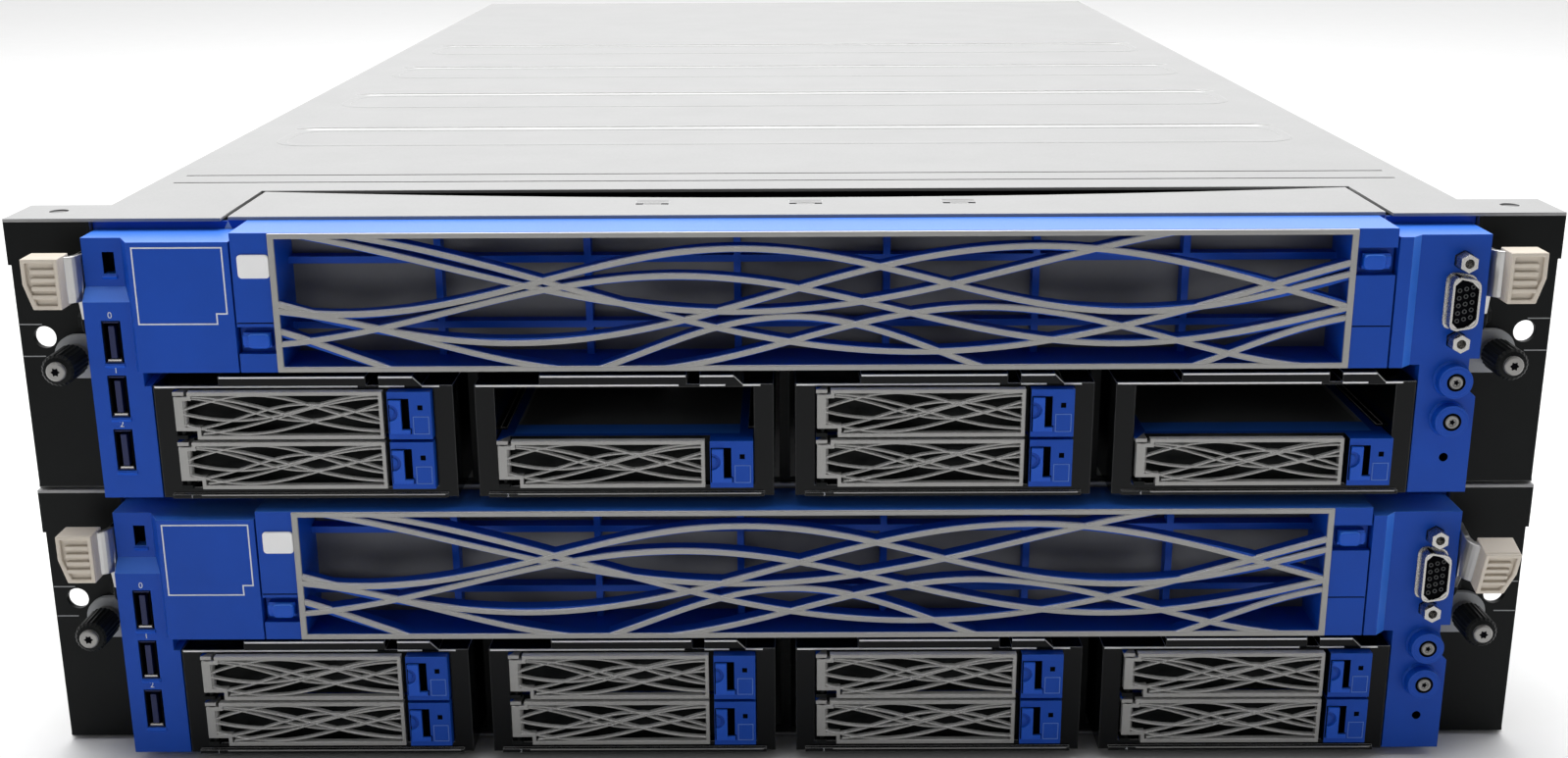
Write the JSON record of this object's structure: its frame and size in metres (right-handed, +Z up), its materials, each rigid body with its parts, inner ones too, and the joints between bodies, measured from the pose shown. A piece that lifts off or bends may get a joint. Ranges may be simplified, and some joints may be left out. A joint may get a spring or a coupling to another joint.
{
  "type": "rack blade server",
  "caption": "Stacked rack server enclosures with slide-out blades, wave-grille bezels, ejector levers, fan modules and drive carriers with swing handles.",
  "frame": {"origin": "on the underside, midway across, in the plane where the rack ears meet the rack posts", "axes": "+X to the right seen from the front, +Y from the front to the rear, +Z up"},
  "size_m": [0.4826, 0.8497, 0.1775],
  "materials": {
    "enclosure_steel": "satin pre-plated sheet steel",
    "ear_black": "black powder coat",
    "supply_grey": "satin grey",
    "blade_steel": "satin pre-plated sheet steel",
    "panel_blue": "cobalt blue moulded plastic",
    "board_green": "board with aluminium and plastic parts",
    "lever_cream": "cream ribbed grip on a steel arm",
    "screw_steel": "turned steel",
    "button_white": "satin",
    "module_black": "black moulded frame",
    "drive_black": "black carrier with a metal disk",
    "handle_silver": "silver-painted lattice"
  },
  "bodies": {
    "rack_frame": {"enclosure_trays": "enclosure_steel", "top_covers": "enclosure_steel", "rack_ears": "ear_black", "power_supplies": "supply_grey"},
    "upper_blade": {"upper_blade_tray": "blade_steel", "upper_control_panels": "panel_blue", "upper_electronics": "board_green"},
    "upper_bezel": {"upper_bezel": "panel_blue"},
    "upper_left_lever": {"upper_left_lever": "lever_cream"},
    "upper_left_thumbscrew": {"upper_left_thumbscrew": "screw_steel"},
    "upper_right_lever": {"upper_right_lever": "lever_cream"},
    "upper_right_thumbscrew": {"upper_right_thumbscrew": "screw_steel"},
    "upper_power_button": {"upper_power_button": "button_white"},
    "upper_locate_button": {"upper_locate_button": "button_white"},
    "upper_fan_module_1": {"upper_fan_module_1": "module_black"},
    "upper_drive_1_top": {"upper_drive_1_top": "drive_black"},
    "upper_handle_1_top": {"upper_handle_1_top": "handle_silver"},
    "upper_drive_1_bottom": {"upper_drive_1_bottom": "drive_black"},
    "upper_handle_1_bottom": {"upper_handle_1_bottom": "handle_silver"},
    "upper_fan_module_2": {"upper_fan_module_2": "module_black"},
    "upper_drive_2_bottom": {"upper_drive_2_bottom": "drive_black"},
    "upper_handle_2_bottom": {"upper_handle_2_bottom": "handle_silver"},
    "upper_fan_module_3": {"upper_fan_module_3": "module_black"},
    "upper_drive_3_top": {"upper_drive_3_top": "drive_black"},
    "upper_handle_3_top": {"upper_handle_3_top": "handle_silver"},
    "upper_drive_3_bottom": {"upper_drive_3_bottom": "drive_black"},
    "upper_handle_3_bottom": {"upper_handle_3_bottom": "handle_silver"},
    "upper_fan_module_4": {"upper_fan_module_4": "module_black"},
    "upper_drive_4_bottom": {"upper_drive_4_bottom": "drive_black"},
    "upper_handle_4_bottom": {"upper_handle_4_bottom": "handle_silver"},
    "lower_blade": {"lower_blade_tray": "blade_steel", "lower_control_panels": "panel_blue", "lower_electronics": "board_green"},
    "lower_bezel": {"lower_bezel": "panel_blue"},
    "lower_left_lever": {"lower_left_lever": "lever_cream"},
    "lower_left_thumbscrew": {"lower_left_thumbscrew": "screw_steel"},
    "lower_right_lever": {"lower_right_lever": "lever_cream"},
    "lower_right_thumbscrew": {"lower_right_thumbscrew": "screw_steel"},
    "lower_power_button": {"lower_power_button": "button_white"},
    "lower_locate_button": {"lower_locate_button": "button_white"},
    "lower_fan_module_1": {"lower_fan_module_1": "module_black"},
    "lower_drive_1_top": {"lower_drive_1_top": "drive_black"},
    "lower_handle_1_top": {"lower_handle_1_top": "handle_silver"},
    "lower_drive_1_bottom": {"lower_drive_1_bottom": "drive_black"},
    "lower_handle_1_bottom": {"lower_handle_1_bottom": "handle_silver"},
    "lower_fan_module_2": {"lower_fan_module_2": "module_black"},
    "lower_drive_2_top": {"lower_drive_2_top": "drive_black"},
    "lower_handle_2_top": {"lower_handle_2_top": "handle_silver"},
    "lower_drive_2_bottom": {"lower_drive_2_bottom": "drive_black"},
    "lower_handle_2_bottom": {"lower_handle_2_bottom": "handle_silver"},
    "lower_fan_module_3": {"lower_fan_module_3": "module_black"},
    "lower_drive_3_top": {"lower_drive_3_top": "drive_black"},
    "lower_handle_3_top": {"lower_handle_3_top": "handle_silver"},
    "lower_drive_3_bottom": {"lower_drive_3_bottom": "drive_black"},
    "lower_handle_3_bottom": {"lower_handle_3_bottom": "handle_silver"},
    "lower_fan_module_4": {"lower_fan_module_4": "module_black"},
    "lower_drive_4_top": {"lower_drive_4_top": "drive_black"},
    "lower_handle_4_top": {"lower_handle_4_top": "handle_silver"},
    "lower_drive_4_bottom": {"lower_drive_4_bottom": "drive_black"},
    "lower_handle_4_bottom": {"lower_handle_4_bottom": "handle_silver"}
  },
  "joints": [
    {"name": "upper_blade_slide", "type": "slide", "parent": "rack_frame", "child": "upper_blade", "axis": [0, -1, 0], "range_m": [0, 0.3]},
    {"name": "lower_blade_slide", "type": "slide", "parent": "rack_frame", "child": "lower_blade", "axis": [0, -1, 0], "range_m": [0, 0.3]},
    {"name": "upper_bezel_pull", "type": "slide", "parent": "upper_blade", "child": "upper_bezel", "axis": [0, -1, 0], "range_m": [0, 0.04]},
    {"name": "lower_bezel_pull", "type": "slide", "parent": "lower_blade", "child": "lower_bezel", "axis": [0, -1, 0], "range_m": [0, 0.04]},
    {"name": "upper_left_lever_tilt", "type": "hinge", "parent": "upper_blade", "child": "upper_left_lever", "pos_m": [-0.2148, -0.008, 0.1469], "axis": [1, 0, 0], "range_deg": [0, 30]},
    {"name": "upper_right_lever_tilt", "type": "hinge", "parent": "upper_blade", "child": "upper_right_lever", "pos_m": [0.2148, -0.008, 0.1469], "axis": [1, 0, 0], "range_deg": [0, 30]},
    {"name": "lower_left_lever_tilt", "type": "hinge", "parent": "lower_blade", "child": "lower_left_lever", "pos_m": [-0.2148, -0.008, 0.058], "axis": [1, 0, 0], "range_deg": [0, 30]},
    {"name": "lower_right_lever_tilt", "type": "hinge", "parent": "lower_blade", "child": "lower_right_lever", "pos_m": [0.2148, -0.008, 0.058], "axis": [1, 0, 0], "range_deg": [-18, 12]},
    {"name": "upper_left_thumbscrew_turn", "type": "hinge", "parent": "upper_blade", "child": "upper_left_thumbscrew", "pos_m": [-0.2223, 0, 0.1339], "axis": [0, 1, 0], "continuous": true},
    {"name": "upper_right_thumbscrew_turn", "type": "hinge", "parent": "upper_blade", "child": "upper_right_thumbscrew", "pos_m": [0.2223, 0, 0.1339], "axis": [0, 1, 0], "continuous": true},
    {"name": "lower_left_thumbscrew_turn", "type": "hinge", "parent": "lower_blade", "child": "lower_left_thumbscrew", "pos_m": [-0.2223, 0, 0.045], "axis": [0, 1, 0], "continuous": true},
    {"name": "lower_right_thumbscrew_turn", "type": "hinge", "parent": "lower_blade", "child": "lower_right_thumbscrew", "pos_m": [0.2223, 0, 0.045], "axis": [0, 1, 0], "continuous": true},
    {"name": "upper_power_button_press", "type": "slide", "parent": "upper_blade", "child": "upper_power_button", "axis": [0, 1, 0], "range_m": [0, 0.0015], "stiffness_N_per_m": 600},
    {"name": "upper_locate_button_press", "type": "slide", "parent": "upper_blade", "child": "upper_locate_button", "axis": [0, 1, 0], "range_m": [0, 0.0015], "stiffness_N_per_m": 600},
    {"name": "lower_power_button_press", "type": "slide", "parent": "lower_blade", "child": "lower_power_button", "axis": [0, 1, 0], "range_m": [0, 0.0015], "stiffness_N_per_m": 600},
    {"name": "lower_locate_button_press", "type": "slide", "parent": "lower_blade", "child": "lower_locate_button", "axis": [0, 1, 0], "range_m": [0, 0.0015], "stiffness_N_per_m": 600},
    {"name": "upper_fan_module_1_slide", "type": "slide", "parent": "upper_blade", "child": "upper_fan_module_1", "axis": [0, -1, 0], "range_m": [0, 0.15]},
    {"name": "upper_fan_module_2_slide", "type": "slide", "parent": "upper_blade", "child": "upper_fan_module_2", "axis": [0, -1, 0], "range_m": [0, 0.15]},
    {"name": "upper_fan_module_3_slide", "type": "slide", "parent": "upper_blade", "child": "upper_fan_module_3", "axis": [0, -1, 0], "range_m": [0, 0.15]},
    {"name": "upper_fan_module_4_slide", "type": "slide", "parent": "upper_blade", "child": "upper_fan_module_4", "axis": [0, -1, 0], "range_m": [0, 0.15]},
    {"name": "lower_fan_module_1_slide", "type": "slide", "parent": "lower_blade", "child": "lower_fan_module_1", "axis": [0, -1, 0], "range_m": [0, 0.15]},
    {"name": "lower_fan_module_2_slide", "type": "slide", "parent": "lower_blade", "child": "lower_fan_module_2", "axis": [0, -1, 0], "range_m": [0, 0.15]},
    {"name": "lower_fan_module_3_slide", "type": "slide", "parent": "lower_blade", "child": "lower_fan_module_3", "axis": [0, -1, 0], "range_m": [0, 0.15]},
    {"name": "lower_fan_module_4_slide", "type": "slide", "parent": "lower_blade", "child": "lower_fan_module_4", "axis": [0, -1, 0], "range_m": [0, 0.15]},
    {"name": "upper_drive_1_top_slide", "type": "slide", "parent": "upper_fan_module_1", "child": "upper_drive_1_top", "axis": [0, -1, 0], "range_m": [0, 0.1]},
    {"name": "upper_handle_1_top_swing", "type": "hinge", "parent": "upper_drive_1_top", "child": "upper_handle_1_top", "pos_m": [-0.1862, -0.0179, 0.119], "axis": [0, 0, -1], "range_deg": [0, 70]},
    {"name": "upper_drive_1_bottom_slide", "type": "slide", "parent": "upper_fan_module_1", "child": "upper_drive_1_bottom", "axis": [0, -1, 0], "range_m": [0, 0.1]},
    {"name": "upper_handle_1_bottom_swing", "type": "hinge", "parent": "upper_drive_1_bottom", "child": "upper_handle_1_bottom", "pos_m": [-0.1862, -0.0179, 0.1027], "axis": [0, 0, -1], "range_deg": [0, 70]},
    {"name": "upper_drive_2_bottom_slide", "type": "slide", "parent": "upper_fan_module_2", "child": "upper_drive_2_bottom", "axis": [0, -1, 0], "range_m": [0, 0.1]},
    {"name": "upper_handle_2_bottom_swing", "type": "hinge", "parent": "upper_drive_2_bottom", "child": "upper_handle_2_bottom", "pos_m": [-0.08718, -0.0179, 0.1027], "axis": [0, 0, -1], "range_deg": [0, 70]},
    {"name": "upper_drive_3_top_slide", "type": "slide", "parent": "upper_fan_module_3", "child": "upper_drive_3_top", "axis": [0, -1, 0], "range_m": [0, 0.1]},
    {"name": "upper_handle_3_top_swing", "type": "hinge", "parent": "upper_drive_3_top", "child": "upper_handle_3_top", "pos_m": [0.01185, -0.0179, 0.119], "axis": [0, 0, -1], "range_deg": [0, 70]},
    {"name": "upper_drive_3_bottom_slide", "type": "slide", "parent": "upper_fan_module_3", "child": "upper_drive_3_bottom", "axis": [0, -1, 0], "range_m": [0, 0.1]},
    {"name": "upper_handle_3_bottom_swing", "type": "hinge", "parent": "upper_drive_3_bottom", "child": "upper_handle_3_bottom", "pos_m": [0.01185, -0.0179, 0.1027], "axis": [0, 0, -1], "range_deg": [0, 70]},
    {"name": "upper_drive_4_bottom_slide", "type": "slide", "parent": "upper_fan_module_4", "child": "upper_drive_4_bottom", "axis": [0, -1, 0], "range_m": [0, 0.1]},
    {"name": "upper_handle_4_bottom_swing", "type": "hinge", "parent": "upper_drive_4_bottom", "child": "upper_handle_4_bottom", "pos_m": [0.11088, -0.0179, 0.1027], "axis": [0, 0, -1], "range_deg": [0, 70]},
    {"name": "lower_drive_1_top_slide", "type": "slide", "parent": "lower_fan_module_1", "child": "lower_drive_1_top", "axis": [0, -1, 0], "range_m": [0, 0.1]},
    {"name": "lower_handle_1_top_swing", "type": "hinge", "parent": "lower_drive_1_top", "child": "lower_handle_1_top", "pos_m": [-0.1862, -0.0179, 0.0301], "axis": [0, 0, -1], "range_deg": [0, 70]},
    {"name": "lower_drive_1_bottom_slide", "type": "slide", "parent": "lower_fan_module_1", "child": "lower_drive_1_bottom", "axis": [0, -1, 0], "range_m": [0, 0.1]},
    {"name": "lower_handle_1_bottom_swing", "type": "hinge", "parent": "lower_drive_1_bottom", "child": "lower_handle_1_bottom", "pos_m": [-0.1862, -0.0179, 0.0138], "axis": [0, 0, -1], "range_deg": [0, 70]},
    {"name": "lower_drive_2_top_slide", "type": "slide", "parent": "lower_fan_module_2", "child": "lower_drive_2_top", "axis": [0, -1, 0], "range_m": [0, 0.1]},
    {"name": "lower_handle_2_top_swing", "type": "hinge", "parent": "lower_drive_2_top", "child": "lower_handle_2_top", "pos_m": [-0.08718, -0.0179, 0.0301], "axis": [0, 0, -1], "range_deg": [0, 70]},
    {"name": "lower_drive_2_bottom_slide", "type": "slide", "parent": "lower_fan_module_2", "child": "lower_drive_2_bottom", "axis": [0, -1, 0], "range_m": [0, 0.1]},
    {"name": "lower_handle_2_bottom_swing", "type": "hinge", "parent": "lower_drive_2_bottom", "child": "lower_handle_2_bottom", "pos_m": [-0.08718, -0.0179, 0.0138], "axis": [0, 0, -1], "range_deg": [0, 70]},
    {"name": "lower_drive_3_top_slide", "type": "slide", "parent": "lower_fan_module_3", "child": "lower_drive_3_top", "axis": [0, -1, 0], "range_m": [0, 0.1]},
    {"name": "lower_handle_3_top_swing", "type": "hinge", "parent": "lower_drive_3_top", "child": "lower_handle_3_top", "pos_m": [0.01185, -0.0179, 0.0301], "axis": [0, 0, -1], "range_deg": [0, 70]},
    {"name": "lower_drive_3_bottom_slide", "type": "slide", "parent": "lower_fan_module_3", "child": "lower_drive_3_bottom", "axis": [0, -1, 0], "range_m": [0, 0.1]},
    {"name": "lower_handle_3_bottom_swing", "type": "hinge", "parent": "lower_drive_3_bottom", "child": "lower_handle_3_bottom", "pos_m": [0.01185, -0.0179, 0.0138], "axis": [0, 0, -1], "range_deg": [0, 70]},
    {"name": "lower_drive_4_top_slide", "type": "slide", "parent": "lower_fan_module_4", "child": "lower_drive_4_top", "axis": [0, -1, 0], "range_m": [0, 0.1]},
    {"name": "lower_handle_4_top_swing", "type": "hinge", "parent": "lower_drive_4_top", "child": "lower_handle_4_top", "pos_m": [0.11088, -0.0179, 0.0301], "axis": [0, 0, -1], "range_deg": [0, 70]},
    {"name": "lower_drive_4_bottom_slide", "type": "slide", "parent": "lower_fan_module_4", "child": "lower_drive_4_bottom", "axis": [0, -1, 0], "range_m": [0, 0.1]},
    {"name": "lower_handle_4_bottom_swing", "type": "hinge", "parent": "lower_drive_4_bottom", "child": "lower_handle_4_bottom", "pos_m": [0.11088, -0.0179, 0.0138], "axis": [0, 0, -1], "range_deg": [0, 70]}
  ]
}
